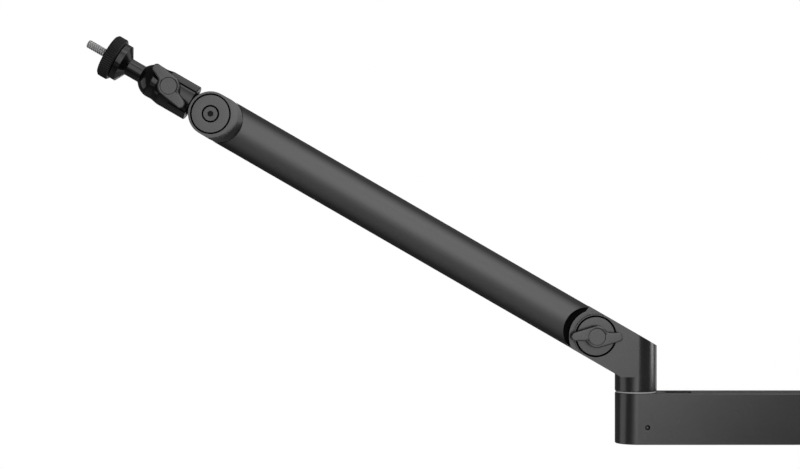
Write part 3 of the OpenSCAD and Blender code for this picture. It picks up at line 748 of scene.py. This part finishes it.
def direction(azimuth, elevation):
    """The direction of a lamp from the arm, by its angles in degrees."""
    a = math.radians(azimuth)
    e = math.radians(elevation)
    return Vector((math.sin(a) * math.cos(e), -math.cos(a) * math.cos(e), math.sin(e)))


def span(degrees):
    """Length that fills an angle at the lamps' distance."""
    return 2 * LAMP_DISTANCE * math.tan(math.radians(degrees / 2))


def softbox(name, toward, up, width, height, level):
    """A soft panel that faces the arm. Its level is its brightness, where 1 is white."""
    lamp = bpy.data.lights.new(name, "AREA")
    lamp.shape = "RECTANGLE"
    lamp.size = span(width)
    lamp.size_y = span(height)
    lamp.energy = level * ENERGY_FOR_WHITE * lamp.size * lamp.size_y
    long_side = (up - toward * up.dot(toward)).normalized()
    short_side = long_side.cross(toward)
    panel = bpy.data.objects.new(name, lamp)
    axes = Matrix((short_side, long_side, toward)).transposed()
    panel.matrix_world = Matrix.Translation(AIM + toward * LAMP_DISTANCE) @ axes.to_4x4()
    panel.visible_camera = False
    bpy.context.scene.collection.objects.link(panel)


def light_studio():
    """The key's leaning arch of panels, and the panels at the sides and the rear."""
    lean = math.radians(KEY_LEAN)
    turn = Matrix.Rotation(math.radians(KEY_TURN), 3, "Z")
    front = turn @ -AWAY
    rise = turn @ Vector((math.sin(lean), 0, math.cos(lean)))
    for i, level in enumerate(KEY_LEVELS):
        a = math.radians(KEY_FIRST + i * KEY_STEP)
        toward = front * math.cos(a) + rise * math.sin(a)
        upward = rise * math.cos(a) - front * math.sin(a)
        softbox("key_%d" % i, toward, upward, KEY_WIDTH, KEY_STEP, level)
    for name, panel in SIDE_PANELS.items():
        toward = direction(panel["azimuth"], panel["elevation"])
        softbox(name, toward, UP, panel["width"], panel["height"], panel["level"])


def make_world():
    """A dim room with a white backdrop, which shows in shiny metal where it lies behind the arm."""
    world = bpy.data.worlds.new("studio_room")
    bpy.context.scene.world = world
    s = Shader(world)
    toward = s.node("ShaderNodeTexCoord", out="Generated")
    rearward = s.node("ShaderNodeSeparateXYZ", None, {0: toward}, "Y").step(*BACKDROP_EDGE)
    seen = s.node("ShaderNodeLightPath", out="Is Camera Ray")
    mirrored = s.node("ShaderNodeLightPath", out="Is Glossy Ray")
    through = s.node("ShaderNodeLightPath", out="Is Transmission Ray")
    white = seen.larger(rearward * mirrored.larger(through))
    level = ROOM_LEVEL + (1 - ROOM_LEVEL) * white
    shade = s.node("ShaderNodeBackground", None, {"Color": grey(1), "Strength": level})
    s.node("ShaderNodeOutputWorld", None, {"Surface": shade})


def make_floor():
    """A round pale floor under the reach of the lowered arm, fading out into the white backdrop."""
    reach = (TIP_PIVOT - ELBOW_PIVOT).length + STUD_TO
    lowest = ELBOW_PIVOT.z - reach * math.sin(LOWEST_SLOPE)
    mesh = bmesh.new()
    bmesh.ops.create_circle(mesh, cap_ends=True, segments=FLOOR_SIDES, radius=FLOOR_RADIUS)
    floor = finish_mesh(mesh, "floor", SHARP_ANGLE)
    floor.location = (AIM.x, 0, lowest - FLOOR_CLEARANCE)
    s = new_shader("pale_floor")
    fade = s.off_axis(ORIGIN, UP).step(*FLOOR_FADE)
    mottle = s.noise(size=MOTTLE_SIZE, detail=3)
    colour = s.blend(mottle, grey(FLOOR_PALE), grey(FLOOR_DARKER))
    s.surface(colour, 0.9 - 0.1 * mottle, others={"Alpha": FLOOR_COVER * (1 - fade)})
    floor.data.materials.append(s.owner)


def place_camera():
    """Stands the camera in front of the arm."""
    eye = bpy.data.cameras.new("camera")
    eye.lens = CAMERA_LENS
    eye.sensor_width = CAMERA_SENSOR
    stand = bpy.data.objects.new("camera", eye)
    stand.location = CAMERA_PLACE
    stand.rotation_euler = CAMERA_TURN
    bpy.context.scene.collection.objects.link(stand)
    bpy.context.scene.camera = stand


# The arm

def dress_arm():
    """Finishes of all pieces: coats, then metals, then rubber and plastics."""
    dress(satin_black("satin_black", grooves=SHADED_GROOVES), "lower_arm", "lower_channel_cover", "elbow_yoke",
          "elbow_front_disc", "elbow_rear_disc", "tip_front_disc", "tip_rear_disc", "upper_channel_cover")
    dress(satin_black("fork_paint", grooves=SHADED_GROOVES, form=fork_band), "upper_fork")
    clamp_paint = satin_black("clamp_paint", level=0.014, rough=0.27, grain=0.5 * MM)
    dress(clamp_paint, "clamp_bracket", "clamp_foot")
    dress(drawn_tube("tube_paint"), "upper_tube")
    shaded_cap_grooves = [(middle(node), *CAP_GROOVE) for node in ("elbow_knob_cap", "head_knob_cap")]
    knob_paint = satin_black("knob_paint", level=0.018, rough=0.25, grain=0.3 * MM,
                             grooves=shaded_cap_grooves, groove_shade=CAP_GROOVE_SHADE)
    dress(knob_paint, wing_knob("elbow_wing_knob", "elbow_knob", 0, "elbow_knob_body"),
          wing_knob("head_wing_knob", "head_knob", HEAD_KNOB_TURN, "head_knob_body"),
          "elbow_knob_cap", "head_knob_cap")
    dress(gloss_black("head_gloss"), "head_housing", "stem")
    dress(dark_metal("wheel_black", TIP_PIVOT, OUTWARD, level=0.003, rough=0.5), "lock_wheel")
    dress(gap_shade_black("tip_knuckle_painted_shade", TIP_PIVOT, AWAY), "tip_knuckle")
    dress(gap_shade_black("knuckle_painted_shade", ELBOW_PIVOT, AWAY), "lower_knuckle")
    dress(socket_screw("tip_screw_black", TIP_PIVOT, FRONT_FACE_Y + TIP_SCREW_SINK), "tip_bolt")
    dress(dark_metal("tube_screw_black", ELBOW_PIVOT, OUTWARD), "tube_screws")
    dress(set_screw("set_screw_painted_light_and_shade", middle("elbow_set_screw")), "elbow_set_screw")
    stud_nickel = bright_steel("stud_nickel", TIP_PIVOT, OUTWARD, level=0.34, rough=0.42)
    dress(stud_nickel, microphone_stud(), "ball", "backing_plug")
    dress(bright_steel("head_screw_steel", TIP_PIVOT, AWAY), "head_screw")
    dress(dark_metal("tip_nut_black", TIP_PIVOT, AWAY), "tip_nut")
    dress(dark_metal("elbow_bolt_black", ELBOW_PIVOT, AWAY), "elbow_bolt", "yoke_set_screw")
    dress(bright_steel("washer_steel", ELBOW_PIVOT, AWAY), "elbow_knob_washer")
    dress(bright_steel("elbow_spindle_steel", ELBOW_POST, UP), "elbow_spindle")
    dress(bright_steel("base_spindle_steel", ORIGIN, UP), "base_spindle", "spindle_set_screw",
          "base_set_screw", "foot_ring", clamp_spindle())
    magnet_nickel = bright_steel("magnet_nickel", ELBOW_PIVOT, OUTWARD, level=0.6, rough=0.12)
    dress(magnet_nickel, "lower_magnets", "upper_magnets")
    dress(warm_brass("insert_brass", TIP_PIVOT, OUTWARD), "wheel_insert", "ball_cup")
    dress(warm_brass("knob_brass", ELBOW_PIVOT, AWAY), "elbow_knob_insert")
    dress(black_rubber("pad_rubber"), "upper_jaw_pad", "foot_pad")
    dress(grained_plastic("hand_knob_plastic"), "clamp_knob")
    dress(pale_nylon("washer_nylon"), "elbow_washer", "base_washer", "elbow_bushing", "base_bushing",
          "elbow_friction_washers", "tip_friction_washers")


def round_all_edges():
    """Machined and cast radii of the nodes that show."""
    round_edges(0.25 * MM, "elbow_yoke", "elbow_front_disc", "elbow_rear_disc", "tip_front_disc",
                "tip_rear_disc", "lower_arm", "lower_channel_cover", "tip_bolt")
    round_edges(0.12 * MM, "upper_fork")
    round_edges(0.2 * MM, "lock_wheel", "elbow_knob_cap", "head_knob_cap", "elbow_bolt", "tube_screws")
    round_edges(0.35 * MM, "head_housing", "stem", "lower_knuckle", "tip_knuckle")
    round_edges(0.7 * MM, "clamp_bracket", "clamp_foot", segments=3)
    round_edges(1.0 * MM, "clamp_knob", segments=3)
    round_edges(0.4 * MM, "upper_jaw_pad", "foot_pad")


place_camera()
make_world()
make_floor()
light_studio()
dress_arm()
round_all_edges()

bpy.context.scene.view_settings.view_transform = "Standard"
